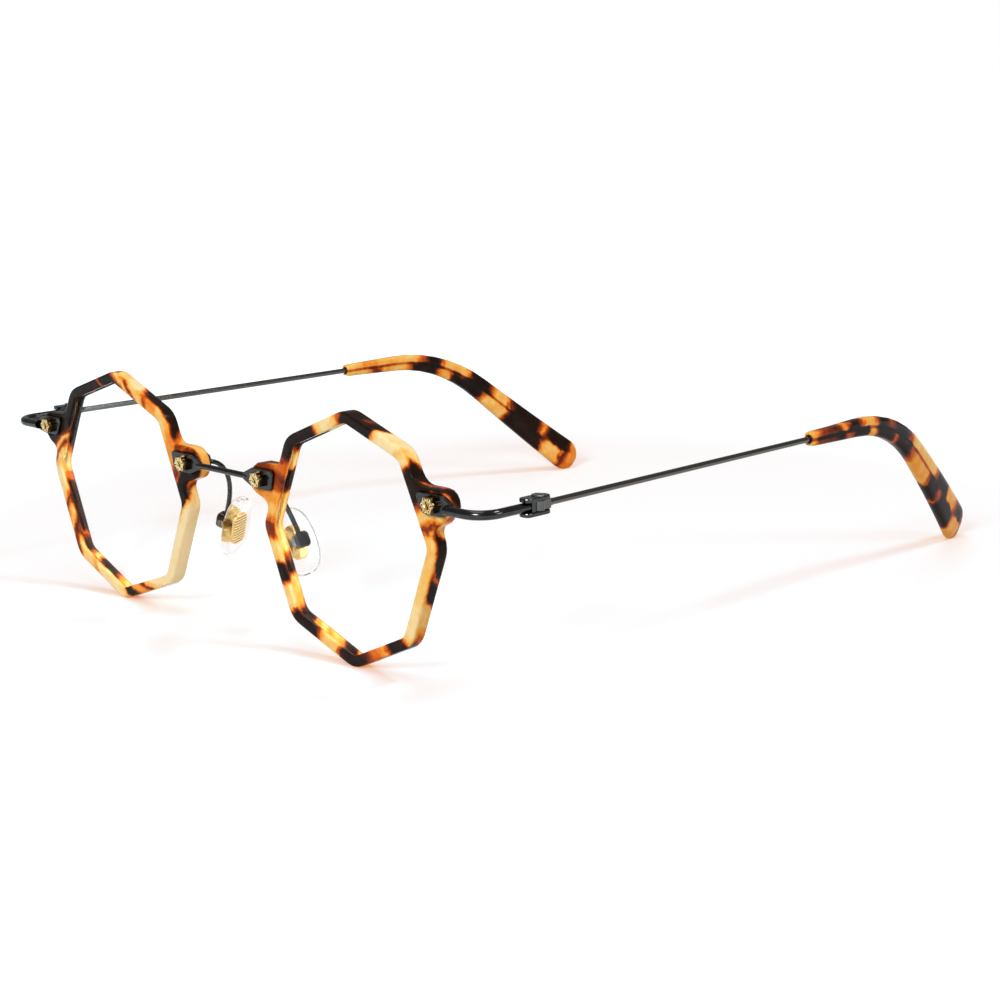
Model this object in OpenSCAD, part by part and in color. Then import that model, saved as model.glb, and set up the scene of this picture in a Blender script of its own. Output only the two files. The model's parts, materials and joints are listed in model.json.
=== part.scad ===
// Octagonal spectacles: acetate rims and tips, wire bridge, end pieces and temples.
// Left and right are the wearer's. The front looks along -Y and the temples run along +Y.
// The origin is on the table, under the middle of the whole frame.

/* [Rims] */
// Distance between the centres of the two openings
rim_spacing = 66.6; // [62:0.2:72]
// Radius from an opening's centre to its eight corners
opening_r = 20; // [18:0.25:21]
// How uneven the octagon is: 0 is regular
unevenness = 1; // [0:0.1:1.2]
// Width of the acetate seen from the front
rim_w = 2; // [1.6:0.1:2.6]
// Depth of the acetate from front to back
rim_depth = 3; // [2.6:0.1:4]
// Rounding of the octagon's outer corners
corner_r = 4.6; // [2:0.1:4.8]
// Rounding of the opening's corners
opening_corner_r = 2.4; // [0.8:0.1:3]
// Easing of the outer edges
rim_ease = 0.45; // [0.2:0.05:0.7]
// Easing of the edges round the opening
opening_ease = 0.25; // [0.1:0.05:0.4]

/* [Lugs] */
// End piece screw beside the opening's centre
end_lug_x = 22; // [21.4:0.05:23]
// End piece screw above the opening's centre
end_lug_y = 9.3; // [8.8:0.1:9.8]
// Bridge screw beside the opening's centre
nose_lug_x = 22.3; // [21.8:0.05:23]
// Bridge screw above the opening's centre
nose_lug_y = 7.4; // [6.8:0.1:7.8]
// How far a lug reaches past its screw
lug_reach = 3.3; // [2.8:0.1:4]
// Height of a lug above its screw
lug_rise = 2.6; // [2.3:0.1:3]
// Rounding where the foot of a lug meets the rim
lug_fillet = 1.4; // [0.8:0.1:1.5]
// Rounding where the top of a lug meets the rim
lug_sweep = 3.2; // [1:0.1:3.6]

/* [Lenses] */
// Thickness of a lens
lens_t = 1.1; // [0.8:0.1:1.4]
// Radius of the lens's curved faces
lens_curve_r = 220; // [160:10:400]
// How deep the lens sits in its groove
groove_depth = 0.7; // [0.4:0.1:0.9]
// Gap round the lens in its groove
groove_gap = 0.05; // [0.03:0.01:0.1]

/* [Bridge and end pieces] */
// Thickness of the metal plates
plate_t = 0.85; // [0.6:0.05:1.2]
// How deep the plates are let into the acetate
plate_seat = 0.25; // [0.15:0.05:0.5]
// Height of a plate at its screw
plate_h = 3.5; // [3:0.1:4]
// Thickness of the bridge bar
bar_d = 1.1; // [0.8:0.1:1.6]
// Thickness of the end piece's rod
rod_d = 1.6; // [1.2:0.1:1.8]
// How far the rod runs below the end piece's screw
rod_drop = 0.35; // [0:0.05:0.5]
// Radius of the end piece's bend round to the side
rod_bend_r = 4; // [3:0.25:5]
// Gap between the rod and the lug that it passes
rod_gap = 0.04; // [0.02:0.01:0.2]
// Edge easing on metal plates
plate_ease = 0.15; // [0.05:0.05:0.25]

/* [Star screws and nuts] */
// Radius to the points of a star head
star_r = 1.55; // [1.3:0.05:1.7]
// Radius to the notches of a star head
star_notch_r = 1.2; // [1:0.05:1.25]
// Thickness of a star head
star_t = 1.1; // [0.6:0.1:1.4]
// Number of points on a star head
star_points = 6; // [5:1:8]
// Thickness of a screw's shank
screw_d = 1.4; // [1.2:0.1:1.6]
// Gap between a shank and its hole
screw_gap = 0.05; // [0.02:0.01:0.1]
// Width of a cap nut across its corners
nut_d = 3; // [2.6:0.1:3.2]
// Thickness of a cap nut
nut_t = 1; // [0.8:0.1:1.4]

/* [Hinges] */
// Hinge axis outward of the opening's centre
hinge_x = 33.6; // [33.2:0.1:34.5]
// Hinge axis behind the rims' front faces
hinge_y = 11.6; // [11.2:0.1:14]
// Length of the ears in front of the hinge axis
ear_front = 3.5; // [3.2:0.1:4]
// Length of the ears behind the hinge axis
ear_back = 2.2; // [1.6:0.1:2.6]
// Width of the ears
ear_w = 2.4; // [2.2:0.1:2.8]
// Thickness of an ear
ear_t = 0.7; // [0.6:0.05:1]
// Height of the temple's knuckle
knuckle_h = 1.55; // [1.4:0.05:1.8]
// Gap above and below the knuckle
knuckle_gap = 0.05; // [0.03:0.01:0.1]
// Thickness of the hinge screw's shank
hinge_screw_d = 1.2; // [1:0.1:1.4]
// Width of the hinge screw's head
hinge_head_d = 2.1; // [1.8:0.1:2.3]
// Thickness of the hinge screw's head
hinge_head_t = 0.2; // [0.15:0.05:0.5]
// Gap round the hinge screw in the knuckle
hinge_gap = 0.05; // [0.02:0.01:0.1]

/* [Temples] */
// Thickness of the temple wire
wire_d = 1.1; // [0.9:0.1:1.3]
// Hinge axis to the start of the tip
wire_len = 71.8; // [66:0.5:78]
// Inward lean of each temple in degrees
toe_in = 1.18; // [0:0.1:2]
// Straight length of the tip before its bend
tip_straight = 14.5; // [10:0.5:18]
// Radius of the bend behind the ear
ear_bend_r = 38; // [30:1:46]
// Downward angle of the tip behind the ear
ear_drop = 39; // [35:0.5:46]
// Inward curve of the tip, in millimetres at its end
tip_curve = 7.8; // [4:0.2:10]
// Height of the tip where the wire enters
tip_h = 2.6; // [2.3:0.1:3]
// Height of the paddle at the end of the tip
paddle_h = 7.4; // [6:0.2:8.4]
// Thickness of the tip
tip_t = 2.4; // [2.2:0.1:3]
// Length of the wire core that stays inside the tip
core_len = 52; // [40:1:58]
// Gap round the wire core in the tip
core_gap = 0.08; // [0.05:0.01:0.12]

/* [Nose pads] */
// Pad pivot beside the frame's middle plane
pad_x = 11.3; // [10.8:0.1:12.5]
// Pad pivot behind the rims' front faces
pad_y = 8.3; // [7.6:0.1:9]
// Pad pivot below the rims' centres
pad_drop = 4.9; // [4:0.1:6]
// Tilt of a pad from upright, in degrees
pad_tilt = 22; // [18:1:26]
// Lean of a pad's top towards the rims, in degrees
pad_lean = 10; // [0:1:15]
// Splay of a pad towards the face, in degrees
pad_splay = 13; // [8:1:20]
// Height of a pad
pad_h = 12.5; // [11:0.5:13.5]
// Width of a pad
pad_w = 7.8; // [7:0.2:8.4]
// Thickness of a pad
pad_t = 2.2; // [2:0.1:2.6]
// Pad's back face from its pivot
pad_off = 1.8; // [1.6:0.05:2]
// Height of the plate moulded into a pad
insert_h = 6.8; // [6:0.2:9]
// Width of the plate moulded into a pad
insert_w = 3.8; // [3.2:0.1:5.6]
// Thickness of the plate moulded into a pad
insert_t = 0.7; // [0.5:0.1:0.9]
// Thickness of the pad's tab between the box's walls
tab_t = 1.1; // [0.9:0.1:1.3]
// Gap on each side of the tab
tab_gap = 0.1; // [0.05:0.01:0.15]
// Thickness of the pad box's walls
box_wall = 0.6; // [0.5:0.05:0.8]
// Thickness of the pad arm's wire
arm_d = 0.9; // [0.8:0.1:1]
// Thickness of the pad screw
pad_screw_d = 0.9; // [0.8:0.1:1]

/* [Hidden] */
$fn = 48;
side_turn = 360 / 8;
corner_steps = 4;

// Octagon: corners at the sides, the top and the bottom. Each is turned a little and reaches
// in or out a little, as on the real frame, in degrees and millimetres from a regular octagon
corner_turns = [4.5, 3.5, -0.6, -0.4, 2.1, 1.8, 1.9, -1.2];
corner_reach = [0.1, 0.4, -0.15, -0.2, 0.15, 0.5, 0.15, -0.25];

// Outlines with rounded corners. Each corner is [x, y, radius], taken anticlockwise.
function unit(v) = v / norm(v);
function turn_of(a, b) = a.x * b.y - a.y * b.x;
function flat(c) = [c.x, c.y];
function pick(list, i) = list[(i + len(list)) % len(list)];
function inset_corner(p, q, s, g) =
    let (a = unit(q - p), b = unit(s - q), na = [a.y, -a.x], nb = [b.y, -b.x])
    q - g * (na + nb) / (1 + na * nb);
function round_corner(p, q, s, r) =
    let (a = unit(p - q), b = unit(s - q), half = acos(a * b) / 2,
         c = q + unit(a + b) * r / sin(half),
         start = q + a * r / tan(half) - c, end = q + b * r / tan(half) - c,
         a0 = atan2(start.y, start.x), swing = atan2(end.y, end.x) - a0,
         turn = swing > 180 ? swing - 360 : swing < -180 ? swing + 360 : swing)
    [for (k = [0:corner_steps]) c + r * [cos(a0 + turn * k / corner_steps), sin(a0 + turn * k / corner_steps)]];
function outline(corners, g = 0) =
    let (n = len(corners),
         inner = [for (i = [0:n - 1])
                  inset_corner(flat(pick(corners, i - 1)), flat(corners[i]), flat(pick(corners, i + 1)), g)],
         radii = [for (i = [0:n - 1])
                  let (q = flat(corners[i]),
                       convex = turn_of(q - flat(pick(corners, i - 1)), flat(pick(corners, i + 1)) - q) > 0)
                  max(0.05, corners[i][2] + (convex ? -g : g))])
    [for (i = [0:n - 1]) each round_corner(pick(inner, i - 1), inner[i], pick(inner, i + 1), radii[i])];
function box_corners(x0, x1, y0, y1, r) = [[x0, y0, r], [x1, y0, r], [x1, y1, r], [x0, y1, r]];
function octagon_corner(i) =
    let (a = i * side_turn + unevenness * corner_turns[i], r = opening_r + unevenness * corner_reach[i])
    r * [cos(a), sin(a)];
function octagon(grow, round_r) =
    let (o = [for (i = [0:7]) octagon_corner(i)])
    [for (i = [0:7]) concat(inset_corner(pick(o, i - 1), o[i], pick(o, i + 1), -grow), round_r)];

// Closed surface through a list of rings with as many points each
module skin(rings) {
    n = len(rings[0]);
    m = len(rings);
    walls = [for (i = [0:m - 2]) for (j = [0:n - 1])
             let (a = i * n + j, b = i * n + (j + 1) % n, c = b + n, d = a + n) each [[a, d, c], [a, c, b]]];
    polyhedron(points = [for (ring = rings) each ring],
               faces = concat([[for (j = [0:n - 1]) j]], walls, [[for (j = [n - 1:-1:0]) (m - 1) * n + j]]));
}

// Closed tube: like skin, but its last ring joins its first
module loop_skin(rings) {
    n = len(rings[0]);
    m = len(rings);
    polyhedron(points = [for (ring = rings) each ring],
               faces = [for (i = [0:m - 1]) for (j = [0:n - 1])
                        let (a = i * n + j, b = i * n + (j + 1) % n,
                             c = ((i + 1) % m) * n + (j + 1) % n, d = ((i + 1) % m) * n + j) each [[a, d, c], [a, c, b]]]);
}

// Flat piece between two heights whose edges are eased by a quarter round
module eased_slab(corners, z0, z1, ease) {
    part = ease * (1 - cos(45));
    levels = [[ease, z0], [part, z0 + part], [0, z0 + ease], [0, z1 - ease], [part, z1 - part], [ease, z1]];
    skin([for (level = levels) [for (p = outline(corners, level[0])) [p.x, p.y, level[1]]]]);
}

module cut_slab(corners, z0, z1, grow) {
    translate([0, 0, z0])
        linear_extrude(z1 - z0)
            polygon(outline(corners, -grow));
}

// Places: every piece is made for the wearer's left, and the right is its mirror image
module placed(right) {
    translate([0, -middle_y, 0])
        mirror([right ? 1 : 0, 0, 0])
            children();
}

// Local X is outward, Y is up and Z is forward, from the opening's centre on the front face
module at_rim() {
    translate([rim_spacing / 2, 0, rim_z])
        rotate([90, 0, 0])
            children();
}

module at_hinge() {
    translate([hinge_world_x, hinge_y, hinge_z])
        children();
}

// Local X is forward, Y is up and Z is towards the nose, from the pad's pivot
module at_pad() {
    translate([pad_x, pad_y, rim_z - pad_drop])
        rotate([pad_lean, 0, 0])
            rotate([0, 0, -pad_splay])
                rotate([0, -pad_tilt, 0])
                    rotate([90, 0, -90])
                        children();
}
function turn_x(a, v) = [v.x, v.y * cos(a) - v.z * sin(a), v.y * sin(a) + v.z * cos(a)];
function turn_y(a, v) = [v.x * cos(a) + v.z * sin(a), v.y, v.z * cos(a) - v.x * sin(a)];
function turn_z(a, v) = [v.x * cos(a) - v.y * sin(a), v.x * sin(a) + v.y * cos(a), v.z];
function pad_direction(v) = turn_x(pad_lean, turn_z(-pad_splay, turn_y(-pad_tilt, [-v.z, -v.x, v.y])));

// Rim outline with its two lugs, anticlockwise from the outer corner
opening_corners = octagon(0, opening_corner_r);
rim_octagon = octagon(rim_w, corner_r);
function on_side(i, y) =
    let (a = rim_octagon[i], b = rim_octagon[i + 1]) a.x + (b.x - a.x) * (y - a.y) / (b.y - a.y);
// A lug's corners: [x, y, radius, height of the matching points on the opening's side]
function end_lug() = let (top = end_lug_y + lug_rise - 0.25, foot = end_lug_y - 4.6)
    [[on_side(0, foot), foot, lug_fillet, foot + 0.3],
     [end_lug_x + 1.2, end_lug_y - 3.3, 2, end_lug_y - 3.1],
     [end_lug_x + lug_reach, end_lug_y - 1, 1.8, end_lug_y - 1],
     [end_lug_x + lug_reach, top, 2.6, top - 1.3],
     [on_side(0, top), top, lug_sweep, top - 0.5]];
function nose_lug() = let (top = nose_lug_y + lug_rise + 0.2, foot = nose_lug_y - 4.1)
    [[on_side(3, top), top, lug_sweep * 0.7, top - 0.5],
     [-nose_lug_x - lug_reach + 0.1, top, 3, top - 1.3],
     [-nose_lug_x - lug_reach - 0.1, nose_lug_y - 2.4, 2.2, nose_lug_y - 1.8],
     [on_side(3, foot), foot, lug_fillet, foot]];
rim_corners = let (o = rim_octagon)
    concat([o[0]], end_lug(), [o[1], o[2], o[3]], nose_lug(), [[o[4].x, o[4].y, corner_r * 0.6], o[5], o[6], o[7]]);
rim_z = -min([for (p = outline(rim_corners)) p.y]);

// Metalwork heights and depths, forward of the rims' front faces
plate_front = plate_t - plate_seat;
rod_forward = rod_d / 2 + rod_gap;
bar_forward = plate_front - plate_t / 2;
hinge_z = rim_z + end_lug_y - rod_drop;
hinge_r = knuckle_h / 2 + knuckle_gap;
hinge_world_x = rim_spacing / 2 + hinge_x;
tab_rear_t = 0.6;
knuckle_r = ear_w / 2;

// Tip: a straight run, a bend and a drop that ends on the table
bend_end_y = wire_len + tip_straight + ear_bend_r * sin(ear_drop);
bend_end_z = -ear_bend_r * (1 - cos(ear_drop));
paddle_r = paddle_h / 2;
drop_len = (hinge_z + bend_end_z - paddle_r) / sin(ear_drop);
bend_len = ear_bend_r * ear_drop * PI / 180;
tip_len = tip_straight + bend_len + drop_len;
tip_end_y = bend_end_y + drop_len * cos(ear_drop);
curve_start_y = wire_len + 5;
tip_sides = 20;
cap_steps = 5;

// Plate outlines on the front face
end_plate_tip = end_lug_x + lug_reach + 1.2;
end_plate = let (low = end_lug_y - plate_h / 2 - 0.05, high = end_lug_y + plate_h / 2 - 0.05, neck = rod_d / 2 + 0.03)
    [[end_lug_x - 2.35, low, 1], [end_lug_x + 1.95, low, 2], [end_plate_tip, end_lug_y - rod_drop - neck, 0.3],
     [end_plate_tip, end_lug_y - rod_drop + neck, 0.3], [end_lug_x + 2.5, high, 2], [end_lug_x - 4.05, high, 0.6]];
nose_plate_tip = nose_lug_x + lug_reach + 1.4;
nose_plate = let (low = nose_lug_y - plate_h / 2, high = nose_lug_y + plate_h / 2 + 0.1, neck = bar_d / 2)
    [[-nose_lug_x + 3.1, low, 0.8], [-nose_lug_x + 3.9, high, 0.6], [-nose_lug_x - 1.9, high, 1.2],
     [-nose_plate_tip, nose_lug_y + neck, 0.3], [-nose_plate_tip, nose_lug_y - neck, 0.3],
     [-nose_lug_x - 1.9, low, 1.2]];

// Opening's outline with as many points as the rim's: beside a lug they lie along the straight side
function beside(from, to, lug) =
    [for (c = lug) for (k = [0:corner_steps])
     let (y = c[3] + 0.25 * (k / corner_steps - 0.5) * sign(to.y - from.y))
     [from.x + (to.x - from.x) * (y - from.y) / (to.y - from.y), y]];
function opening_ring(grow, z) =
    let (all = outline(opening_corners, -grow), n = corner_steps + 1,
         arcs = [for (i = [0:7]) [for (k = [0:n - 1]) all[i * n + k]]])
    [for (p = concat(arcs[0], beside(arcs[0][n - 1], arcs[1][0], end_lug()), arcs[1], arcs[2], arcs[3],
                     beside(arcs[3][n - 1], arcs[4][0], nose_lug()), arcs[4], arcs[5], arcs[6], arcs[7]))
     [p.x, p.y, z]];
function rim_ring(inset, z) = [for (p = outline(rim_corners, inset)) [p.x, p.y, z]];

// Acetate rim: octagon, lugs, opening and lens groove in one skin, then plate seats and screw holes
module rim() {
    groove = lens_t + 2 * groove_gap + lens_sag(lens_reach + groove_depth) - lens_sag(lens_waist);
    lip = (rim_depth - groove) / 2;
    o = rim_ease * (1 - cos(45));
    i = opening_ease * (1 - cos(45));
    outside = [[rim_ease, rim_depth], [o, rim_depth - o], [0, rim_depth - rim_ease], [0, rim_ease], [o, o], [rim_ease, 0]];
    front = [[opening_ease, 0], [i, i], [0, opening_ease], [0, lip], [groove_depth, lip]];
    back = [for (k = [len(front) - 1:-1:0]) [front[k][0], rim_depth - front[k][1]]];
    color([0.72, 0.4, 0.12])
        difference() {
            loop_skin(concat([for (level = outside) rim_ring(level[0], -level[1])],
                             [for (level = concat(front, back)) opening_ring(level[0], -level[1])]));
            cut_slab(end_plate, -plate_seat, 1, screw_gap);
            cut_slab(nose_plate, -plate_seat, 1, screw_gap);
            for (at = [[end_lug_x, end_lug_y], [-nose_lug_x, nose_lug_y]])
                screw_hole(at, -rim_depth - 1, 1);
        }
}

module screw_hole(at, z0, z1) {
    translate([at.x, at.y, z0])
        cylinder(h = z1 - z0, d = screw_d + 2 * screw_gap);
}

// Clear curved lens whose edge fills the groove
lens_reach = max([for (p = outline(opening_corners)) norm(p)]);
lens_waist = min([for (i = [0:7]) norm(octagon_corner(i) + octagon_corner((i + 1) % 8)) / 2]);
function lens_sag(r) = lens_curve_r - sqrt(lens_curve_r * lens_curve_r - r * r);
module lens() {
    grow = groove_depth - groove_gap;
    mid_sag = (lens_sag(lens_reach + grow) + lens_sag(lens_waist)) / 2;
    apex = -rim_depth / 2 + lens_t / 2 + mid_sag;
    color([0.9, 0.95, 1, 0.35])
        intersection() {
            translate([0, 0, -rim_depth - 3])
                linear_extrude(rim_depth + 6)
                    polygon(outline(opening_corners, -grow));
            difference() {
                translate([0, 0, apex - lens_curve_r])
                    rotate([90, 0, 0])
                        sphere(r = lens_curve_r, $fn = 96);
                translate([0, 0, apex - lens_curve_r])
                    rotate([90, 0, 0])
                        sphere(r = lens_curve_r - lens_t, $fn = 96);
            }
        }
}

module plate(corners, at) {
    difference() {
        eased_slab(corners, -plate_seat, plate_front, plate_ease);
        screw_hole(at, -1, 2);
    }
}

// Bridge: two plates and a straight bar, in one piece
module bridge() {
    color([0.3, 0.3, 0.31])
        for (right = [0, 1])
            placed(right)
                bridge_half();
}

module bridge_half() {
    bar_end = nose_plate_tip - 1;
    at_rim()
        plate(nose_plate, [-nose_lug_x, nose_lug_y]);
    translate([-0.01, -bar_forward, rim_z + nose_lug_y])
        rotate([0, 90, 0])
            cylinder(h = rim_spacing / 2 - bar_end, d = bar_d);
}

// End piece: plate, bent rod and the two ears of the hinge
module endpiece() {
    rod_start = rim_spacing / 2 + end_plate_tip - 1;
    bend_y = rod_bend_r - rod_forward;
    spine_front = hinge_y - ear_front + 1.3;
    spine_back = hinge_y - knuckle_r - 0.12;
    color([0.3, 0.3, 0.31]) {
        at_rim()
            plate(end_plate, [end_lug_x, end_lug_y]);
        translate([rod_start, -rod_forward, hinge_z])
            rotate([0, 90, 0])
                cylinder(h = hinge_world_x - rod_bend_r - rod_start, d = rod_d);
        translate([hinge_world_x - rod_bend_r, bend_y, hinge_z])
            rotate([0, 0, -90])
                rotate_extrude(angle = 90)
                    translate([rod_bend_r, 0])
                        circle(d = rod_d);
        translate([hinge_world_x, bend_y, hinge_z])
            rotate([-90, 0, 0])
                cylinder(h = spine_front + 0.4 - bend_y, d = rod_d);
        translate([hinge_world_x - ear_w / 2 + 0.3, spine_front, hinge_z - hinge_r - 0.2])
            cube([ear_w - 0.6, spine_back - spine_front, 2 * hinge_r + 0.4]);
        for (ear = [0, 1])
            at_hinge()
                mirror([0, 0, ear])
                    hinge_ear();
    }
}

module hinge_ear() {
    half = ear_w / 2;
    shape = [[-half, -ear_front, 0.9], [half, -ear_front, 0.9], [half, ear_back, half - 0.1], [-half, ear_back, half - 0.1]];
    difference() {
        eased_slab(shape, hinge_r, hinge_r + ear_t, plate_ease);
        cylinder(h = hinge_r + ear_t + 1, d = hinge_screw_d + 2 * hinge_gap);
    }
}

// Screw through both ears and the knuckle, with a slotted head on top
module hinge_screw() {
    top = hinge_r + ear_t;
    color([0.45, 0.45, 0.46])
        at_hinge()
            difference() {
                union() {
                    translate([0, 0, -top])
                        cylinder(h = 2 * top + 0.01, d = hinge_screw_d);
                    translate([0, 0, top])
                        cylinder(h = hinge_head_t, d = hinge_head_d);
                }
                translate([-hinge_head_d, -0.15, top + hinge_head_t / 2])
                    cube([2 * hinge_head_d, 0.3, 1]);
            }
}

// Through screw with a star head; its shank ends in the cap nut
module star_screw(at, rear) {
    head = [for (i = [0:2 * star_points - 1])
            let (r = i % 2 == 0 ? star_r : star_notch_r) [r * cos(i * 180 / star_points), r * sin(i * 180 / star_points)]];
    color([0.85, 0.62, 0.25])
        at_rim()
            translate([at.x, at.y, 0]) {
                translate([0, 0, plate_front])
                    linear_extrude(star_t)
                        polygon(head);
                translate([0, 0, -rear - nut_t * 0.7])
                    cylinder(h = plate_front + rear + nut_t * 0.7 + 0.01, d = screw_d);
            }
}

// Cap nut with six sides and a domed end
module cap_nut(at, rear) {
    color([0.35, 0.35, 0.36])
        at_rim()
            translate([at.x, at.y, -rear])
                mirror([0, 0, 1])
                    difference() {
                        union() {
                            cylinder(h = nut_t * 0.6, d = nut_d, $fn = 6);
                            intersection() {
                                cylinder(h = nut_t, d = nut_d * 0.84);
                                translate([0, 0, nut_t - nut_d])
                                    sphere(r = nut_d);
                            }
                        }
                        translate([0, 0, -1])
                            cylinder(h = 1 + nut_t * 0.75, d = screw_d + 2 * screw_gap);
                    }
}

// Pad arm: rear tab on the bridge screw, curved wire and the box that holds the pad
function bezier(p, t) = pow(1 - t, 3) * p[0] + 3 * t * pow(1 - t, 2) * p[1] + 3 * t * t * (1 - t) * p[2] + pow(t, 3) * p[3];
box_back = 1.4;
box_half_h = 1.45;
box_mouth = 0.95;
tab_end_x = nose_lug_x + nut_d / 2 + arm_d + 0.3;
arm_start = [rim_spacing / 2 - tab_end_x + arm_d / 2, rim_depth + arm_d / 2 + 0.05, rim_z + nose_lug_y];
arm_end = [pad_x, pad_y, rim_z - pad_drop] + pad_direction([0, box_half_h - 0.2, -0.1]);
arm_path = [arm_start, arm_start + [-3.2, 2.2, 0], arm_end + [-3.3, -0.3, 5.6], arm_end];
arm_rings = [for (k = [0:14])
    let (t = k / 14, p = bezier(arm_path, t), d = unit(bezier(arm_path, t + 0.01) - bezier(arm_path, t - 0.01)),
         u = unit(cross(d, [0, 1, 0.3])), v = cross(d, u))
    [for (j = [0:9]) p + arm_d / 2 * (cos(j * 36) * u + sin(j * 36) * v)]];

module pad_arm() {
    half = tab_t / 2 + tab_gap + box_wall;
    rear_tab = box_corners(-tab_end_x, -nose_lug_x + 1.8, nose_lug_y - 1.4, nose_lug_y + 1.4, 1);
    color([0.3, 0.3, 0.31]) {
        at_rim()
            difference() {
                eased_slab(rear_tab, -rim_depth - tab_rear_t, -rim_depth, plate_ease);
                screw_hole([-nose_lug_x, nose_lug_y], -rim_depth - 2, -rim_depth + 1);
            }
        skin(arm_rings);
        at_pad()
            difference() {
                eased_slab(box_corners(-half, half, -box_half_h, box_half_h, 0.8), -box_back, box_mouth, 0.35);
                translate([-half + box_wall, -box_half_h - 1, -box_back + 0.4])
                    cube([2 * (half - box_wall), 2 * box_half_h + 1 - 0.5, box_back + box_mouth]);
                rotate([0, 90, 0])
                    cylinder(h = 4 * half, d = pad_screw_d + 0.06, center = true);
            }
    }
}

// Small screw that the pad rocks on
module pad_screw() {
    half = tab_t / 2 + tab_gap + box_wall;
    color([0.8, 0.8, 0.8])
        at_pad()
            rotate([0, 90, 0])
                difference() {
                    union() {
                        translate([0, 0, -half])
                            cylinder(h = 2 * half + 0.01, d = pad_screw_d);
                        translate([0, 0, half])
                            cylinder(h = 0.3, d = pad_screw_d + 0.6);
                    }
                    translate([-0.1, -2, half + 0.18])
                        cube([0.2, 4, 1]);
                }
}

// Plate and tab that the pad is moulded round
function insert_corners() = box_corners(-insert_w / 2, insert_w / 2, -insert_h / 2, insert_h / 2, insert_w / 2 - 0.4);
insert_z = pad_off + 0.55;
module pad_insert() {
    color([0.85, 0.66, 0.3])
        at_pad() {
            eased_slab(insert_corners(), insert_z, insert_z + insert_t, 0.12);
            difference() {
                union() {
                    translate([-tab_t / 2, 0, 0])
                        rotate([0, 90, 0])
                            cylinder(h = tab_t, r = 0.8);
                    translate([-tab_t / 2, -0.8, 0])
                        cube([tab_t, 1.6, insert_z + insert_t / 2]);
                }
                rotate([0, 90, 0])
                    cylinder(h = 4, d = pad_screw_d + 0.06, center = true);
            }
        }
}

// Soft pad: flat back, full rounded sides and a low crown
module nose_pad() {
    shape = [[-pad_w / 2, -pad_h / 2, 3.4], [pad_w / 2 - 0.4, -pad_h / 2, 3.2],
             [pad_w / 2 - 0.9, pad_h / 2, 2.8], [-pad_w / 2 + 1, pad_h / 2, 2.7]];
    levels = [[0.4, 0], [0.1, 0.2], [0, 0.5], [0.12, pad_t * 0.45], [0.5, pad_t * 0.72],
              [1.1, pad_t * 0.9], [1.8, pad_t * 0.98], [2.4, pad_t]];
    color([0.95, 0.93, 0.9, 0.5])
        at_pad()
            difference() {
                skin([for (level = levels) [for (p = outline(shape, level[0])) [p.x, p.y, pad_off + level[1]]]]);
                cut_slab(insert_corners(), insert_z - 0.04, insert_z + insert_t + 0.04, 0.04);
                translate([-tab_t / 2 - 0.05, -0.85, pad_off - 1])
                    cube([tab_t + 0.1, 1.7, 2]);
            }
}

// Temple wire: knuckle, tang, straight wire and the core inside the tip
module temple_wire() {
    tang_end = ear_back + 0.6;
    color([0.3, 0.3, 0.31])
        at_hinge()
            rotate([0, 0, toe_in]) {
                difference() {
                    union() {
                        translate([0, 0, -knuckle_h / 2])
                            cylinder(h = knuckle_h, r = knuckle_r);
                        translate([-knuckle_h / 2, 0, -knuckle_h / 2])
                            cube([knuckle_h, ear_back, knuckle_h]);
                    }
                    cylinder(h = 2 * knuckle_h, d = hinge_screw_d + 2 * hinge_gap, center = true);
                }
                translate([0, ear_back, 0])
                    rotate([-90, 0, 0])
                        cylinder(h = tang_end - ear_back + 0.6, d1 = knuckle_h - 0.02, d2 = wire_d);
                translate([0, ear_back, 0])
                    rotate([-90, 0, 0])
                        cylinder(h = wire_len + 1 - ear_back, d = wire_d);
                skin(core_rings());
            }
}

// Tip: rings along its path, from the wire's way in to the rounded end of the paddle
function tip_angle(s) = s < tip_straight ? 0 : min(ear_drop, (s - tip_straight) / bend_len * ear_drop);
function tip_yz(s) =
    s < tip_straight ? [wire_len + s, 0]
    : s < tip_straight + bend_len
        ? [wire_len + tip_straight + ear_bend_r * sin(tip_angle(s)), -ear_bend_r * (1 - cos(tip_angle(s)))]
        : let (d = s - tip_straight - bend_len)
          [bend_end_y + d * cos(ear_drop), bend_end_z - d * sin(ear_drop)];
function tip_shift(y) =
    let (f = max(0, y - curve_start_y) / (tip_end_y - curve_start_y)) -tip_curve * f * f;
function tip_centre(s) = let (p = tip_yz(s)) [tip_shift(p[0]), p[0], p[1]];
function tip_ring(s, half_t, half_h, power, count) =
    let (c = tip_centre(s), along = unit(tip_centre(s + 0.1) - tip_centre(s - 0.1)), a = tip_angle(s),
         across = unit(cross([0, sin(a), cos(a)], along)), up = cross(along, across))
    [for (j = [0:count - 1])
        let (t = j * 360 / count, x = cos(t), z = sin(t))
        c + half_t * sign(x) * pow(abs(x), power) * across + half_h * sign(z) * pow(abs(z), power) * up];
function swell(s) = tip_h / 2 + (paddle_h - tip_h) / 2 * pow(s / tip_len, 1.15);
tip_stations = concat([0, 0.25, 0.8], [for (k = [1:2]) tip_straight * k / 2], [for (k = [1:7]) tip_straight + bend_len * k / 7],
                      [for (k = [1:5]) tip_straight + bend_len + drop_len * k / 5]);
function outer_ring(s) =
    let (soft = s < 0.1 ? 0.82 : s < 0.5 ? 0.95 : 1) tip_ring(s, tip_t / 2 * soft, swell(s) * soft, 0.55, tip_sides);
function cap_ring(k) =
    let (a = k * 86 / cap_steps) tip_ring(tip_len + paddle_r * sin(a), tip_t / 2 * pow(cos(a), 0.6), paddle_r * cos(a), 0.55, tip_sides);
core_stations = concat([0, 0.5], [for (s = tip_stations) if (s > 1 && s < core_len - 2) s], [core_len]);
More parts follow.
